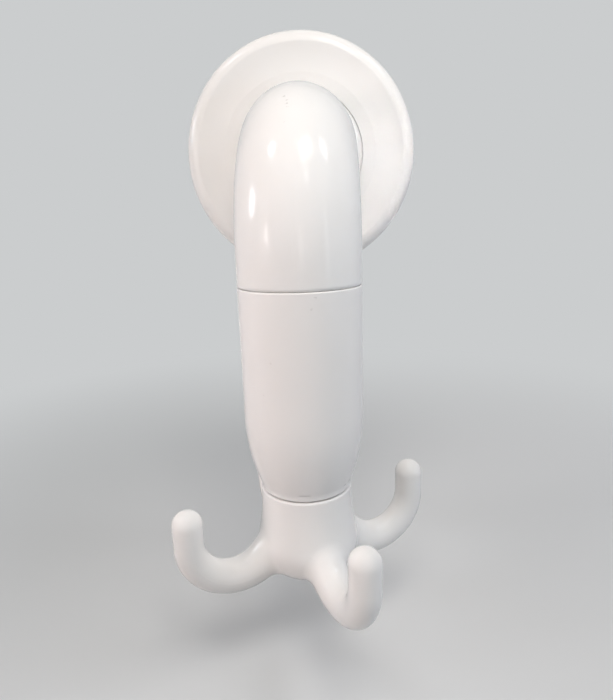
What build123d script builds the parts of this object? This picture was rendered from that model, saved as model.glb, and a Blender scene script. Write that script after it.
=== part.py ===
from build123d import *
import os
from math import cos, pi, radians, sin, sqrt, tan

# Sizes in millimetres. X to the right, Y into the wall, Z up.
# The origin is the centre of the face that meets the wall, and depths are counted out from it.

# Wall plate
plate_r = 40.0
rim_edge_depth = 4.8
rim_width = 4.6
rim_ridge_depth = 10.0
dish_sag = 0.25
land_width = 4.8
land_edge_depth = 9.9
land_foot_depth = 9.6
groove_gap = 0.4
groove_depth = 0.8
plate_wall = 2.2
web_thick = 2.7
rib_count = 8
rib_thick = 1.6
rib_root = 0.5
ridge_round = 1.5
land_round = 1.2
back_round = 0.5

# Back cover and adhesive pad
cover_thick = 1.6
cover_inset = 2.2
pad_thick = 1.2
pad_inset = 1.5

# Elbow arm
arm_r = 17.9
neck_flare = 1.9
flare_power = 5.0
foot_flare = 1.5
foot_lip = 0.5
foot_cove = 1.1
foot_edge_round = 0.2
elbow_crown = 1.2
arm_standoff = 52.0
bend_start_depth = 19.0
skirt_length = 7.6
elbow_stations = 8
lower_edge_round = 1.0
arm_wall = 3.4
neck_wall = 3.2
journal_r = 14.0
journal_wall = 2.6
screw_post_r = 5.2

# Half-lap between elbow and barrel
spigot_length = 10.0
spigot_wall = 1.7
glue_gap = 0.1
seam_round = 0.45

# Barrel
barrel_length = 61.0
barrel_straight = 37.4
barrel_end_r = 13.75
barrel_lip = 1.3
lip_cove = 4.0
barrel_wall = 2.8
floor_thick = 4.0
stem_r = 8.0

# Hook head
hub_top_r = 13.9
hub_r = 19.5
hub_height = 29.2
hub_corner_r = 11.0
hub_edge_round = 0.8
prong_count = 4
prong_turn = 24.25
prong_circle_r = 37.6
prong_r = 4.45
prong_upright = 6.7
prong_bend_r = 13.6
prong_tip_drop = 5.2
root_r = 6.0
root_start = 4.0
root_taper = 0.5
root_rise = 28.0
prong_stations = 5
taper_power = 2.5
bend_bulge = 0.35
root_fillet = 6.0

# Screws and washers
screw_r = 1.7
screw_length = 12.0
screw_head_r = 3.6
screw_head_height = 2.2
recess_length = 4.0
recess_width = 1.0
recess_depth = 1.2
washer_thick = 1.2
neck_washer_r = 17.0
head_washer_r = 10.5

# Clearances
seat_gap = 0.3
head_gap = 0.4
running_gap = 0.05
cover_gap = 0.2
well_gap = 1.5
screw_gap = 0.05
hole_gap = 0.2

# Places that follow from the sizes above
ridge_r = plate_r - rim_width
neck_r = arm_r + neck_flare
foot_r = neck_r + foot_flare
land_r = foot_r + land_width
dish_depth = (rim_ridge_depth + land_edge_depth) / 2 - dish_sag
cover_seat_depth = pad_thick + cover_thick
cover_r = plate_r - cover_inset
web_back_depth = cover_seat_depth + screw_head_height + washer_thick + seat_gap + cover_gap
web_front_depth = web_back_depth + web_thick
groove_floor_depth = web_front_depth - groove_depth
foot_back_depth = web_front_depth + seat_gap
foot_front_depth = foot_back_depth + foot_lip
journal_back_depth = web_back_depth - seat_gap
well_r = neck_washer_r + well_gap
elbow_bend_r = arm_standoff - bend_start_depth
arm_drop = elbow_bend_r + skirt_length
core_r = arm_r - arm_wall
spigot_r = core_r + spigot_wall
upper_seam_z = -arm_drop
lower_seam_z = upper_seam_z - barrel_length
floor_top_z = lower_seam_z + floor_thick
head_top_z = lower_seam_z - head_gap
stem_top_z = floor_top_z + seat_gap
tip_z = head_top_z - prong_tip_drop
prong_bend_z = tip_z - prong_upright

arm_axis = Axis((0, -arm_standoff, 0), (0, 0, 1))
arm_section = Plane(origin=(0, -arm_standoff, 0), x_dir=(1, 0, 0), z_dir=(0, -1, 0))


# A plane parallel to the wall, facing the room
def facing(depth):
    return Plane.XZ.offset(depth)


# A level plane centred on the arm's vertical axis, facing up
def level(height):
    return Plane(origin=(0, -arm_standoff, height), x_dir=(1, 0, 0), z_dir=(0, 0, 1))


# The plane across the elbow's centre line at a share of its length from the neck
def elbow_plane(share):
    lead = bend_start_depth - foot_front_depth
    bend_length = elbow_bend_r * pi / 2
    run = share * (lead + bend_length + skirt_length) - lead
    turn = min(max(run, 0), bend_length) / elbow_bend_r
    depth = bend_start_depth + elbow_bend_r * sin(turn) + min(run, 0)
    height = -elbow_bend_r * (1 - cos(turn)) - max(run - bend_length, 0)
    return Plane(origin=(0, -depth, height), x_dir=(1, 0, 0), z_dir=(0, -cos(turn), -sin(turn)))


# A plane across a prong, at a distance from the head's axis, its normal rising by slope degrees
def prong_plane(azimuth, distance, height, slope):
    outward = Vector(sin(radians(azimuth)), -cos(radians(azimuth)), 0)
    tangent = outward * cos(radians(slope)) + Vector(0, 0, 1) * sin(radians(slope))
    origin = Vector(0, -arm_standoff, height) + outward * distance
    return Plane(origin=origin, x_dir=outward.rotate(Axis.Z, 90), z_dir=tangent)


# The same on the prong's bend, where the slope is also the angle turned from the lowest point
def bend_plane(azimuth, slope):
    distance = prong_circle_r - prong_bend_r + prong_bend_r * sin(radians(slope))
    height = prong_bend_z - prong_bend_r * cos(radians(slope))
    return prong_plane(azimuth, distance, height, slope)


# Circular edges of a given radius
def rings(edges, radius):
    circles = edges.filter_by(GeomType.CIRCLE)
    return circles.filter_by(lambda edge: abs(edge.radius - radius) < glue_gap)


# Wall plate: a turned section with a rolled rim, a shallow dish and a groove round the elbow's foot
with BuildPart() as wall_plate:
    with BuildSketch(Plane.XY):
        with BuildLine():
            Line((cover_r + cover_gap, -pad_thick), (plate_r, -pad_thick))
            Line((plate_r, -pad_thick), (plate_r, -rim_edge_depth))
            TangentArc((plate_r, -rim_edge_depth), (ridge_r, -rim_ridge_depth), tangent=(0, -1))
            dish_middle = ((ridge_r + land_r) / 2, -dish_depth)
            ThreePointArc((ridge_r, -rim_ridge_depth), dish_middle, (land_r, -land_edge_depth))
            Polyline(
                (land_r, -land_edge_depth),
                (foot_r + groove_gap, -land_foot_depth),
                (foot_r + groove_gap, -groove_floor_depth),
                (foot_r - groove_gap, -groove_floor_depth),
                (foot_r - groove_gap, -web_front_depth),
                (journal_r + running_gap, -web_front_depth),
                (journal_r + running_gap, -web_back_depth),
                (well_r, -web_back_depth),
                (well_r, -cover_seat_depth),
                (well_r + plate_wall, -cover_seat_depth),
                (well_r + plate_wall, plate_wall - dish_depth),
                (ridge_r, plate_wall - dish_depth),
                (ridge_r, -cover_seat_depth),
                (cover_r + cover_gap, -cover_seat_depth),
                (cover_r + cover_gap, -pad_thick),
            )
        make_face()
    revolve(axis=Axis.Y)
    fillet(rings(wall_plate.edges(), ridge_r).sort_by(Axis.Y)[:1], ridge_round)
    fillet(rings(wall_plate.edges(), land_r), land_round)
    fillet(rings(wall_plate.edges(), plate_r).sort_by(Axis.Y)[-1:], back_round)
    rib_length = ridge_r - well_r
    with BuildSketch(facing(cover_seat_depth)):
        with PolarLocations(ridge_r - rib_length / 2 + rib_root, rib_count):
            Rectangle(rib_length, rib_thick)
    extrude(amount=dish_depth - plate_wall - cover_seat_depth)

# Back cover: a flat disc let into the plate's back
with BuildPart() as back_cover:
    with BuildSketch(facing(pad_thick)):
        Circle(cover_r)
    extrude(amount=cover_thick)

# Adhesive pad: a foam disc over the whole back
with BuildPart() as adhesive_pad:
    with BuildSketch(facing(0)):
        Circle(plate_r - pad_inset)
    extrude(amount=pad_thick)

# Elbow arm: a quarter bend on a coved foot, cored from below, with a journal behind and a spigot below
with BuildPart() as elbow_arm:
    for station in range(elbow_stations + 1):
        share = station / elbow_stations
        side_r = arm_r + neck_flare * (1 - share) ** flare_power
        with BuildSketch(elbow_plane(share)):
            Ellipse(side_r, side_r + elbow_crown * sin(pi * sqrt(share)) ** 2)
    loft()
    fillet(elbow_arm.faces().sort_by(Axis.Z)[0].edges(), lower_edge_round)
    with BuildSketch(facing(foot_back_depth)):
        Circle(foot_r)
    extrude(amount=foot_lip)
    neck_edges = elbow_arm.edges().filter_by(GeomType.BSPLINE).filter_by_position(
        Axis.Y, -foot_front_depth - glue_gap, -foot_front_depth + glue_gap
    )
    fillet(neck_edges, foot_cove)
    fillet(rings(elbow_arm.edges(), foot_r).sort_by(Axis.Y)[:1], foot_edge_round)
    with BuildSketch(facing(journal_back_depth)):
        Circle(journal_r)
    extrude(amount=foot_back_depth - journal_back_depth)
    with BuildSketch(level(upper_seam_z)):
        Circle(spigot_r)
    extrude(amount=-spigot_length)
    with BuildLine() as core_path:
        bend_end = (0, -arm_standoff, -elbow_bend_r)
        TangentArc((0, -bend_start_depth, 0), bend_end, tangent=(0, -1, 0))
        Line(bend_end, (0, -arm_standoff, upper_seam_z - spigot_length))
    with BuildSketch(facing(bend_start_depth)):
        Circle(core_r)
    sweep(path=core_path.wires()[0], mode=Mode.SUBTRACT)
    with BuildSketch(facing(journal_back_depth)):
        Circle(journal_r - journal_wall)
        Circle(screw_post_r, mode=Mode.SUBTRACT)
    extrude(amount=bend_start_depth - neck_wall - journal_back_depth, mode=Mode.SUBTRACT)
    with BuildSketch(facing(journal_back_depth)):
        Circle(screw_r + screw_gap)
    extrude(amount=screw_length, mode=Mode.SUBTRACT)

# Barrel: a sleeve drawn in to a short lip at its lower end, open above, its floor carrying the head
with BuildPart() as barrel:
    straight_end_z = upper_seam_z - barrel_straight
    lip_top = (barrel_end_r, lower_seam_z + barrel_lip)
    with BuildSketch(arm_section):
        with BuildLine():
            Line((0, upper_seam_z), (arm_r, upper_seam_z))
            Line((arm_r, upper_seam_z), (arm_r, straight_end_z))
            TangentArc((arm_r, straight_end_z), lip_top, tangent=(0, -1))
            Line(lip_top, (barrel_end_r, lower_seam_z))
            Line((barrel_end_r, lower_seam_z), (0, lower_seam_z))
            Line((0, lower_seam_z), (0, upper_seam_z))
        make_face()
    revolve(axis=arm_axis)
    fillet(rings(barrel.edges(), arm_r).sort_by(Axis.Z)[-1:], seam_round)
    lip_edges = rings(barrel.edges(), barrel_end_r).sort_by(Axis.Z)
    fillet(lip_edges[-1:], lip_cove)
    fillet(rings(barrel.edges(), barrel_end_r).sort_by(Axis.Z)[:1], seam_round)
    with BuildSketch(arm_section):
        with BuildLine():
            Line((0, upper_seam_z), (arm_r - barrel_wall, upper_seam_z))
            Line((arm_r - barrel_wall, upper_seam_z), (arm_r - barrel_wall, straight_end_z))
            inner_end = (barrel_end_r - barrel_wall / 2, floor_top_z)
            TangentArc((arm_r - barrel_wall, straight_end_z), inner_end, tangent=(0, -1))
            Line(inner_end, (0, floor_top_z))
            Line((0, floor_top_z), (0, upper_seam_z))
        make_face()
    revolve(axis=arm_axis, mode=Mode.SUBTRACT)
    with BuildSketch(level(upper_seam_z)):
        Circle(spigot_r + glue_gap)
    extrude(amount=-spigot_length - seat_gap, mode=Mode.SUBTRACT)
    with BuildSketch(level(lower_seam_z)):
        Circle(stem_r + running_gap)
    extrude(amount=floor_thick, mode=Mode.SUBTRACT)

# Hook head: hub, four prongs and stem in one moulding, with the prongs' roots blended into the hub
with BuildPart() as hook_head:
    seam_turn = radians(prong_turn + 180 / prong_count)
    between_prongs = Plane(
        origin=(0, -arm_standoff, 0),
        x_dir=(cos(seam_turn), sin(seam_turn), 0),
        z_dir=(sin(seam_turn), -cos(seam_turn), 0),
    )
    hub_bottom_z = head_top_z - hub_height
    with BuildSketch(between_prongs) as hub_section:
        with BuildLine():
            TangentArc((hub_top_r, head_top_z), (hub_r, hub_bottom_z), tangent=(0, -1))
            Polyline((hub_r, hub_bottom_z), (0, hub_bottom_z), (0, head_top_z), (hub_top_r, head_top_z))
        make_face()
        fillet(hub_section.vertices().sort_by_distance((0, -arm_standoff, head_top_z))[-1:], hub_corner_r)
    revolve(axis=arm_axis)
    for prong in range(prong_count):
        azimuth = prong_turn + prong * 360 / prong_count
        bend_in = bend_plane(azimuth, -root_rise).origin
        run_in = prong_circle_r - prong_bend_r * (1 + sin(radians(root_rise))) - root_start
        root_z = bend_in.Z + run_in * tan(radians(root_rise))
        with BuildSketch(prong_plane(azimuth, root_start, root_z, -root_rise)):
            Circle(root_r)
        for station in range(prong_stations + 1):
            share = station / prong_stations
            side_r = prong_r + (root_r - root_taper - prong_r) * (1 - share) ** taper_power
            with BuildSketch(bend_plane(azimuth, -root_rise + (90 + root_rise) * share)):
                Ellipse(side_r, side_r + bend_bulge * sin(pi * share))
        loft()
        with BuildSketch(bend_plane(azimuth, 90)):
            Circle(prong_r)
        extrude(amount=prong_upright)
        with Locations(prong_plane(azimuth, prong_circle_r, tip_z, 90).origin):
            Sphere(prong_r)
    root_edges = [
        edge
        for edge in hook_head.edges().filter_by(GeomType.BSPLINE)
        if (edge.center() - level(edge.center().Z).origin).length < hub_r + prong_r
    ]
    fillet(root_edges, root_fillet)
    fillet(rings(hook_head.edges(), hub_top_r), hub_edge_round)
    with BuildSketch(level(head_top_z)):
        Circle(stem_r)
    extrude(amount=stem_top_z - head_top_z)
    with BuildSketch(level(stem_top_z)):
        Circle(screw_r + screw_gap)
    extrude(amount=-screw_length, mode=Mode.SUBTRACT)

# Washers: plain steel rings
with BuildPart() as neck_washer:
    with BuildSketch(facing(journal_back_depth)):
        Circle(neck_washer_r)
        Circle(screw_r + hole_gap, mode=Mode.SUBTRACT)
    extrude(amount=-washer_thick)

with BuildPart() as head_washer:
    with BuildSketch(level(stem_top_z)):
        Circle(head_washer_r)
        Circle(screw_r + hole_gap, mode=Mode.SUBTRACT)
    extrude(amount=washer_thick)


# A pan-head screw: head on a seat plane whose normal points to the driver, with a cross recess
def pan_head_screw(seat):
    with BuildPart() as screw:
        with BuildSketch(seat):
            Circle(screw_head_r)
        extrude(amount=screw_head_height)
        with BuildSketch(seat):
            Circle(screw_r)
        extrude(amount=-screw_length)
        with BuildSketch(seat.offset(screw_head_height)):
            Rectangle(recess_length, recess_width)
            Rectangle(recess_width, recess_length)
        extrude(amount=-recess_depth, mode=Mode.SUBTRACT)
    return screw


neck_screw_depth = journal_back_depth - washer_thick
neck_screw = pan_head_screw(Plane(origin=(0, -neck_screw_depth, 0), x_dir=(1, 0, 0), z_dir=(0, 1, 0)))
head_screw = pan_head_screw(level(stem_top_z + washer_thick))

os.makedirs("parts", exist_ok=True)
wall_plate.part.label = "wall_plate"
export_step(wall_plate.part, "parts/wall_plate.step")
back_cover.part.label = "back_cover"
export_step(back_cover.part, "parts/back_cover.step")
adhesive_pad.part.label = "adhesive_pad"
export_step(adhesive_pad.part, "parts/adhesive_pad.step")
elbow_arm.part.label = "elbow_arm"
export_step(elbow_arm.part, "parts/elbow_arm.step")
barrel.part.label = "barrel"
export_step(barrel.part, "parts/barrel.step")
hook_head.part.label = "hook_head"
export_step(hook_head.part, "parts/hook_head.step")
neck_washer.part.label = "neck_washer"
export_step(neck_washer.part, "parts/neck_washer.step")
neck_screw.part.label = "neck_screw"
export_step(neck_screw.part, "parts/neck_screw.step")
head_washer.part.label = "head_washer"
export_step(head_washer.part, "parts/head_washer.step")
head_screw.part.label = "head_screw"
export_step(head_screw.part, "parts/head_screw.step")
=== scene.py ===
import bpy
from math import cos, pi, radians, sin
from mathutils import Matrix, Vector


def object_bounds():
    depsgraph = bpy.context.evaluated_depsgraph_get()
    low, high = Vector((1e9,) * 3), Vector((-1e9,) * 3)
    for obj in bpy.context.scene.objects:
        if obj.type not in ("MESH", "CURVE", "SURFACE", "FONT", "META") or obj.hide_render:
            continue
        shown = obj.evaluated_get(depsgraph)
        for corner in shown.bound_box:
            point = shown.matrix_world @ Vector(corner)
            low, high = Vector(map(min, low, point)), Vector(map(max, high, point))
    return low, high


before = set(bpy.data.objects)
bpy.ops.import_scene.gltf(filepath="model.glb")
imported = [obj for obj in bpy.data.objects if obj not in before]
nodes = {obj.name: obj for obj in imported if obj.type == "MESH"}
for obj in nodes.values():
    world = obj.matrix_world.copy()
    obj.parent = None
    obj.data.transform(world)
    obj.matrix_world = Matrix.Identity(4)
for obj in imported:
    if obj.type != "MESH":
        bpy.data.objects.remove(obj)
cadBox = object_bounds()
bpy.ops.object.select_all(action="DESELECT")
print("frame loaded:", ", ".join(sorted(nodes)))

mm = 0.001
noiseSpan = {"From Min": 0.3, "From Max": 0.7}  # nearly all of a noise's values lie between these


# an sRGB hex colour as the linear colour that the shaders take
def linear(hexColour):
    parts = [int(hexColour[i:i + 2], 16) / 255 for i in (1, 3, 5)]
    return tuple(c / 12.92 if c <= 0.04045 else ((c + 0.055) / 1.055) ** 2.4 for c in parts) + (1.0,)


# one node with its settings and its incoming links, both by socket name or number
def addNode(tree, kind, settings=None, links=None):
    node = tree.nodes.new(kind)
    for name, value in (settings or {}).items():
        if isinstance(name, int) or name in node.inputs:
            node.inputs[name].default_value = value
        else:
            setattr(node, name, value)
    for name, source in (links or {}).items():
        tree.links.new(source, node.inputs[name])
    return node


def newMaterial(name):
    material = bpy.data.materials.new(name)
    material.use_nodes = True
    material.node_tree.nodes.clear()
    return material, material.node_tree


def dress(nodeName, material):
    for slot in nodes[nodeName].material_slots:
        slot.material = material


# what each finish starts from: the part's own coordinates, the noises it needs, with feature sizes in
# millimetres, and a body colour that drifts between two near shades with the cloud
def mottled(tree, finish, uses):
    base = {"spot": addNode(tree, "ShaderNodeTexCoord").outputs["Object"]}
    for use, size, detail in (("cloud", finish["cloudSize"], 3.0), *uses):
        settings = {"Scale": 1 / (size * mm), "Detail": detail}
        base[use] = addNode(tree, "ShaderNodeTexNoise", settings, {"Vector": base["spot"]}).outputs["Fac"]
    shades = {"data_type": "RGBA", 6: linear(finish["shade"]), 7: linear(finish["colour"])}
    base["body"] = addNode(tree, "ShaderNodeMix", shades, {0: base["cloud"]}).outputs[2]
    return base


# the shader and output that end each finish
def finished(tree, settings, body, gloss, skin):
    links = {"Base Color": body, "Roughness": gloss, "Normal": skin.outputs[0]}
    shader = addNode(tree, "ShaderNodeBsdfPrincipled", settings, links)
    addNode(tree, "ShaderNodeOutputMaterial", links={"Surface": shader.outputs[0]})


# light passes a little way into the white polymer, which softens its shadows
absBody = {"IOR": 1.53, "Subsurface Weight": 0.3, "Subsurface Radius": (1.0, 0.95, 0.9),
           "Subsurface Scale": 1.2 * mm}

# a scuff's outline is broken up at this grit in millimetres; ragged and core are shares of its size, and
# dulled is the roughness that a full scuff adds
scuffWear = {"grit": 0.5, "ragged": 1.2, "core": 0.2, "dulled": 0.3}


# white ABS moulded in a polished tool: bright body colour under a clear gloss, which waves a little where
# the walls shrank, with a fine orange peel that softens the edges of reflections; scuffs are rubbed and
# greyed spots
def glossyAbs(name, finish):
    material, tree = newMaterial(name)
    uses = [("haze", finish["hazeSize"], 4.0), ("ragged", scuffWear["grit"], 2.0),
            ("wave", finish["waveSize"], 1.0), ("peel", finish["peelSize"], 2.0)]
    base = mottled(tree, finish, uses)
    body = base["body"]
    low, high = finish["roughness"]
    gloss = addNode(tree, "ShaderNodeMapRange", {**noiseSpan, "To Min": low, "To Max": high},
                    {"Value": base["haze"]}).outputs[0]
    swell = addNode(tree, "ShaderNodeBump", {"Strength": 1.0, "Distance": finish["waveDepth"] * mm},
                    {"Height": base["wave"]})
    skin = addNode(tree, "ShaderNodeBump", {"Strength": 1.0, "Distance": finish["peelDepth"] * mm},
                   {"Height": base["peel"], "Normal": swell.outputs[0]})
    nick = None
    for centre, size, depth in finish.get("scuffs", ()):
        reach = addNode(tree, "ShaderNodeVectorMath", {"operation": "DISTANCE", 1: [c * mm for c in centre]},
                        {0: base["spot"]}).outputs["Value"]
        stray = scuffWear["ragged"] * size * mm
        edge = addNode(tree, "ShaderNodeMath", {"operation": "MULTIPLY_ADD", 1: 2 * stray, 2: -stray},
                       {0: base["ragged"]}).outputs[0]
        worn = addNode(tree, "ShaderNodeMath", {"operation": "ADD"}, {0: reach, 1: edge}).outputs[0]
        fall = {"From Min": size * mm, "From Max": scuffWear["core"] * size * mm, "To Max": depth}
        share = addNode(tree, "ShaderNodeMapRange", fall, {"Value": worn}).outputs[0]
        if nick:
            share = addNode(tree, "ShaderNodeMath", {"operation": "MAXIMUM"}, {0: nick, 1: share}).outputs[0]
        nick = share
    if nick:
        body = addNode(tree, "ShaderNodeMix", {"data_type": "RGBA", 7: linear(finish["scuffColour"])},
                       {0: nick, 6: body}).outputs[2]
        gloss = addNode(tree, "ShaderNodeMath", {"operation": "MULTIPLY_ADD", 1: scuffWear["dulled"]},
                        {0: nick, 2: gloss}).outputs[0]
        dent = {"invert": True, "Strength": 1.0, "Distance": finish["scuffDepth"] * mm}
        skin = addNode(tree, "ShaderNodeBump", dent, {"Height": nick, "Normal": skin.outputs[0]})
    finished(tree, absBody, body, gloss, skin)
    return material


# the visible mouldings share the polymer and differ in how their tools were polished and how they are
# handled; sizes and depths are in millimetres, and a scuff is its place, its size and how grey it is
plateFinish = {"colour": "#EDEBE9", "shade": "#E9E7E4", "roughness": (0.12, 0.17),
               "cloudSize": 30, "hazeSize": 6, "waveSize": 14, "waveDepth": 0.04,
               "peelSize": 0.7, "peelDepth": 0.0008}
dress("wall_plate", glossyAbs("moulded_white_abs_plate", plateFinish))

armFinish = {"colour": "#EDEBE9", "shade": "#E9E7E5", "roughness": (0.11, 0.17),
             "cloudSize": 26, "hazeSize": 5, "waveSize": 11, "waveDepth": 0.05,
             "peelSize": 0.7, "peelDepth": 0.0008, "scuffColour": "#A29D97", "scuffDepth": 0.25,
             "scuffs": (((-2.8, -46.9, 10.6), 0.55, 0.36), ((-1.95, -49.2, 9.15), 0.42, 0.22),
                        ((-1.9, -50.6, 8.0), 0.5, 0.28), ((-1.75, -51.9, 7.0), 0.42, 0.20),
                        ((-2.4, -56.3, 2.4), 0.35, 0.15))}
dress("elbow_arm", glossyAbs("moulded_white_abs_arm", armFinish))

barrelFinish = {"colour": "#ECEAE8", "shade": "#E8E5E3", "roughness": (0.14, 0.20),
                "cloudSize": 24, "hazeSize": 5, "waveSize": 10, "waveDepth": 0.05,
                "peelSize": 0.7, "peelDepth": 0.0008, "scuffColour": "#A29D97", "scuffDepth": 0.1,
                "scuffs": (((4.6, -69.3, -41.9), 0.5, 0.22), ((3.5, -69.5, -44.9), 0.4, 0.18),
                           ((-7.8, -68.1, -59.3), 0.4, 0.15), ((-10.3, -66.6, -68.7), 0.35, 0.12))}
dress("barrel", glossyAbs("moulded_white_abs_barrel", barrelFinish))

headFinish = {"colour": "#EDEBE9", "shade": "#E8E6E4", "roughness": (0.07, 0.11),
              "cloudSize": 18, "hazeSize": 4, "waveSize": 9, "waveDepth": 0.03,
              "peelSize": 0.6, "peelDepth": 0.0006}
dress("hook_head", glossyAbs("moulded_white_abs_head", headFinish))

# the cover's tool was blasted, not polished, so it is satin
coverFinish = {"colour": "#E4E2DE", "shade": "#DCDAD5", "roughness": (0.38, 0.48),
               "cloudSize": 20, "hazeSize": 3, "waveSize": 12, "waveDepth": 0.03,
               "peelSize": 0.25, "peelDepth": 0.01}
dress("back_cover", glossyAbs("moulded_white_abs_cover", coverFinish))

# with these in its gloss the elbow's upper edge renders lighter still than it is in the photograph
for name in ("wall_plate", "back_cover", "adhesive_pad", "neck_washer", "neck_screw"):
    nodes[name].visible_glossy = False
print("mouldings dressed")


# acrylic foam tape, cut from the sheet: matt and chalky, with closed cells that break the surface into
# fine pits; the pits are coloured darker, which is painted shade
def cutFoam(name, finish):
    material, tree = newMaterial(name)
    base = mottled(tree, finish, ())
    cells = addNode(tree, "ShaderNodeTexVoronoi", {"Scale": 1 / (finish["cellSize"] * mm)},
                    {"Vector": base["spot"]})
    inner, outer = finish["pitSpan"]
    pits = addNode(tree, "ShaderNodeMapRange", {"From Min": inner, "From Max": outer},
                   {"Value": cells.outputs["Distance"]}).outputs[0]
    # painted shade: each pit is coloured darker towards its floor
    body = addNode(tree, "ShaderNodeMix", {"data_type": "RGBA", 6: linear(finish["pitShadeColour"])},
                   {0: pits, 7: base["body"]}).outputs[2]
    low, high = finish["roughness"]
    gloss = addNode(tree, "ShaderNodeMapRange", {"To Min": high, "To Max": low}, {"Value": pits}).outputs[0]
    skin = addNode(tree, "ShaderNodeBump", {"Strength": 1.0, "Distance": finish["pitDepth"] * mm},
                   {"Height": pits})
    finished(tree, {"IOR": finish["ior"]}, body, gloss, skin)
    return material


# the cells are drawn coarser than real ones, so that they show; the pit span is a share of a cell, and the
# darker colour in the pits is painted shade
padFinish = {"colour": "#DAD7D0", "shade": "#D0CCC4", "pitShadeColour": "#B9B5AC", "roughness": (0.75, 0.9),
             "ior": 1.47, "cloudSize": 12, "cellSize": 0.5, "pitSpan": (0.15, 0.6), "pitDepth": 0.08}
dress("adhesive_pad", cutFoam("cut_acrylic_foam", padFinish))


# cold-formed steel, zinc plated: a bright bluish metal dulled by the plating's fine grain
def zincSteel(name, finish):
    material, tree = newMaterial(name)
    base = mottled(tree, finish, [("fine", finish["grainSize"], 2.0)])
    low, high = finish["roughness"]
    gloss = addNode(tree, "ShaderNodeMapRange", {**noiseSpan, "To Min": low, "To Max": high},
                    {"Value": base["cloud"]}).outputs[0]
    skin = addNode(tree, "ShaderNodeBump", {"Strength": 1.0, "Distance": finish["grainDepth"] * mm},
                   {"Height": base["fine"]})
    finished(tree, {"Metallic": 1.0}, base["body"], gloss, skin)
    return material


steelFinish = {"colour": "#CBCFD1", "shade": "#BABEC1", "roughness": (0.28, 0.40),
               "cloudSize": 2.0, "grainSize": 0.15, "grainDepth": 0.004}
plated = zincSteel("zinc_plated_steel", steelFinish)
for name in ("neck_washer", "neck_screw", "head_washer", "head_screw"):
    dress(name, plated)
print("pad and fasteners dressed")


# 1 for rays that see the stage itself, straight or in gloss or glass, and 0 for light that it only returns
def seenRays(tree):
    rays = addNode(tree, "ShaderNodeLightPath").outputs
    seen = rays["Is Camera Ray"]
    for kind in ("Is Glossy Ray", "Is Transmission Ray"):
        seen = addNode(tree, "ShaderNodeMath", {"operation": "MAXIMUM"}, {0: seen, 1: rays[kind]}).outputs[0]
    return seen


# a pale floor below the hook, which fades into the background; radius and fade in metres
stage = {"radius": 4.0, "sides": 96, "drop": 30 * mm, "floorColour": "#D8D9D9", "bounceColour": "#C2C2C2",
         "backColour": "#CBCDCE", "fadeStart": 0.10, "fadeEnd": 0.42, "worldColour": "#FDFDFF",
         "worldLight": 0.03}

floorPlace = (0, 0, cadBox[0][2] - stage["drop"])
bpy.ops.mesh.primitive_circle_add(vertices=stage["sides"], radius=stage["radius"], fill_type="NGON",
                                  location=floorPlace)
floor = bpy.context.object
floor.name = "studio_floor"
bpy.ops.object.transform_apply(location=True)
floorMaterial, tree = newMaterial("pale_studio_floor")
spot = addNode(tree, "ShaderNodeTexCoord").outputs["Object"]
reach = addNode(tree, "ShaderNodeVectorMath", {"operation": "LENGTH"}, {0: spot}).outputs["Value"]
fadeSpan = {"interpolation_type": "SMOOTHSTEP", "From Min": stage["fadeStart"], "From Max": stage["fadeEnd"]}
fade = addNode(tree, "ShaderNodeMapRange", fadeSpan, {"Value": reach}).outputs[0]
seen = seenRays(tree)
share = addNode(tree, "ShaderNodeMath", {"operation": "MULTIPLY"}, {0: seen, 1: fade}).outputs[0]
paints = {"data_type": "RGBA", 6: linear(stage["bounceColour"]), 7: linear(stage["floorColour"])}
paint = addNode(tree, "ShaderNodeMix", paints, {0: seen}).outputs[2]
matt = addNode(tree, "ShaderNodeBsdfDiffuse", links={"Color": paint})
glow = addNode(tree, "ShaderNodeEmission", {"Color": linear(stage["backColour"])})
both = addNode(tree, "ShaderNodeMixShader", links={0: share, 1: matt.outputs[0], 2: glow.outputs[0]})
addNode(tree, "ShaderNodeOutputMaterial", links={"Surface": both.outputs[0]})
floor.data.materials.append(floorMaterial)

# the background as it is seen, and a faint light from all round
world = bpy.data.worlds.new("studio_world")
bpy.context.scene.world = world
world.use_nodes = True
tree = world.node_tree
tree.nodes.clear()
fillLight = {"Color": linear(stage["worldColour"]), "Strength": stage["worldLight"]}
fill = addNode(tree, "ShaderNodeBackground", fillLight)
back = addNode(tree, "ShaderNodeBackground", {"Color": linear(stage["backColour"]), "Strength": 1.0})
both = addNode(tree, "ShaderNodeMixShader", links={0: seenRays(tree), 1: fill.outputs[0], 2: back.outputs[0]})
addNode(tree, "ShaderNodeOutputWorld", links={"Surface": both.outputs[0]})
print("floor and world set")

# lamps aim at the middle of the arm, and one at the right half of the plate
armAim = Vector((0, -50, -60)) * mm
plateAim = Vector((28, -9, -4)) * mm


# a softbox: angles in degrees from the camera's side, distance and size in metres, and a level in each
# colour, where 1 lights a white surface facing it to white; a beam in degrees is a grid over the lamp
def softbox(name, azimuth, elevation, distance, width, height, level, mirrored=True, aim=armAim, beam=None):
    az, el = radians(azimuth), radians(elevation)
    toLight = Vector((sin(az) * cos(el), -cos(az) * cos(el), sin(el)))
    bpy.ops.object.light_add(type="AREA", location=aim + toLight * distance)
    lamp = bpy.context.object
    lamp.name = name
    lamp.rotation_euler = toLight.to_track_quat("Z", "Y").to_euler()
    lamp.data.shape = "RECTANGLE"
    lamp.data.size, lamp.data.size_y = width, height
    lamp.data.energy = max(level) * pi ** 2 * distance ** 2
    lamp.data.color = [c / max(level) for c in level]
    lamp.visible_glossy = mirrored
    if beam:
        lamp.data.spread = radians(beam)


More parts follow.
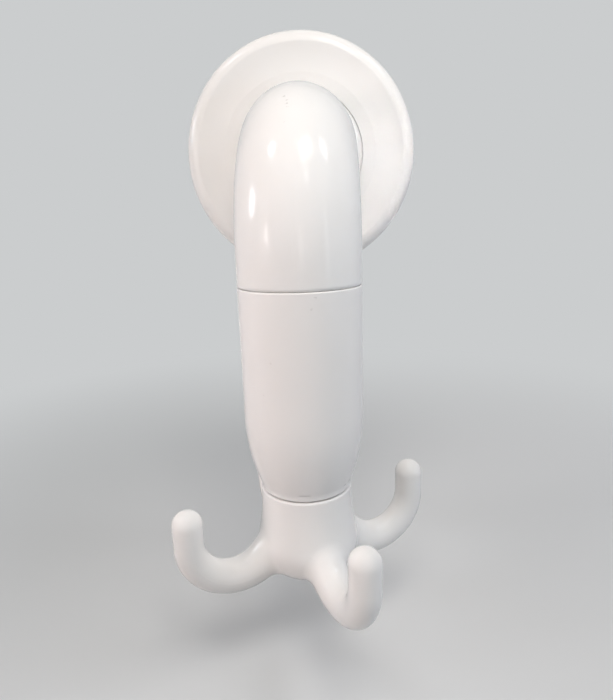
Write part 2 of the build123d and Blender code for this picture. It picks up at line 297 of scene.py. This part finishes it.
# lamps that show in the gloss, placed where the photograph's highlights point
softbox("key_softbox", 37, 70, 0.3, 0.085, 0.070, (0.084, 0.082, 0.072))
softbox("front_top_lamp", 26, 51, 0.9, 0.12, 0.12, (0.0165, 0.016, 0.0155))
softbox("top_left_lamp", -76, 58.5, 0.8, 0.11, 0.11, (0.056, 0.058, 0.060))
softbox("top_right_lamp", 85, 55, 0.8, 0.08, 0.15, (0.052, 0.052, 0.054))
softbox("left_window", -90, 23, 0.9, 0.19, 0.18, (0.084, 0.090, 0.097))
softbox("small_left_lamp", -55, 13, 0.9, 0.06, 0.16, (0.030, 0.028, 0.027))
softbox("front_window", 6, 8, 0.9, 0.08, 0.24, (0.018, 0.016, 0.015))
softbox("right_strip", 54, 5, 0.9, 0.04, 0.6, (0.020, 0.021, 0.022))

# fills kept out of the gloss: a little warm from above, cool from the right front, and one behind
softbox("top_fill", 6, 58, 0.40, 0.20, 0.16, (0.510, 0.490, 0.472), False)
softbox("near_right_fill", 62, 46, 0.28, 0.12, 0.12, (0.215, 0.215, 0.222), False)
softbox("left_fill", -100, 0, 0.45, 0.25, 0.18, (0.110, 0.110, 0.109), False)
softbox("right_front_fill", 60, 0, 0.45, 0.25, 0.18, (0.120, 0.150, 0.175), False)
softbox("right_fill", 112, 0, 0.45, 0.25, 0.18, (0.058, 0.050, 0.064), False)
softbox("back_fill", 170, 20, 0.6, 0.30, 0.30, (0.30, 0.30, 0.30), False)

# gridded lamps, whose beams keep to one part: warm on the barrel's left, and on the plate's right half
softbox("barrel_lamp", -60, 8, 0.45, 0.17, 0.17, (0.0390, 0.0337, 0.0329), False, beam=45)
softbox("plate_lamp", 34, 12, 0.36, 0.02, 0.04, (0.00090, 0.00089, 0.00085), False, aim=plateAim, beam=8)
print("lamps set")

# camera fitted to the photograph: place in metres, lens and centre in pixels on the 613 x 700 frame,
# turns in radians, sensor in millimetres
shot = {"place": (6.30 * mm, -203.22 * mm, -23.29 * mm), "focal": 528.14, "centre": (310.76, 348.05),
        "pitch": 0.2331, "yaw": 0.0245, "roll": -0.0304, "frame": (613, 700), "sensor": 36, "near": 5 * mm}
pitch, yaw, roll = shot["pitch"], shot["yaw"], shot["roll"]
frameWidth, frameHeight = shot["frame"]
forward = Vector((-sin(yaw) * cos(pitch), cos(yaw) * cos(pitch), -sin(pitch)))
across = Vector((cos(yaw), sin(yaw), 0))
over = across.cross(forward)
right = cos(roll) * across + sin(roll) * over
up = -sin(roll) * across + cos(roll) * over
bpy.ops.object.camera_add()
camera = bpy.context.object
camera.name = "photo_camera"
turn = Matrix((right, up, -forward)).transposed().to_4x4()
camera.matrix_world = Matrix.Translation(shot["place"]) @ turn
camera.data.sensor_width = shot["sensor"]
camera.data.lens = shot["focal"] / frameHeight * shot["sensor"]
camera.data.shift_x = (frameWidth / 2 - shot["centre"][0]) / frameHeight
camera.data.shift_y = (shot["centre"][1] - frameHeight / 2) / frameHeight
camera.data.clip_start = shot["near"]
bpy.context.scene.camera = camera
bpy.context.scene.view_settings.view_transform = "Standard"
print("camera set")
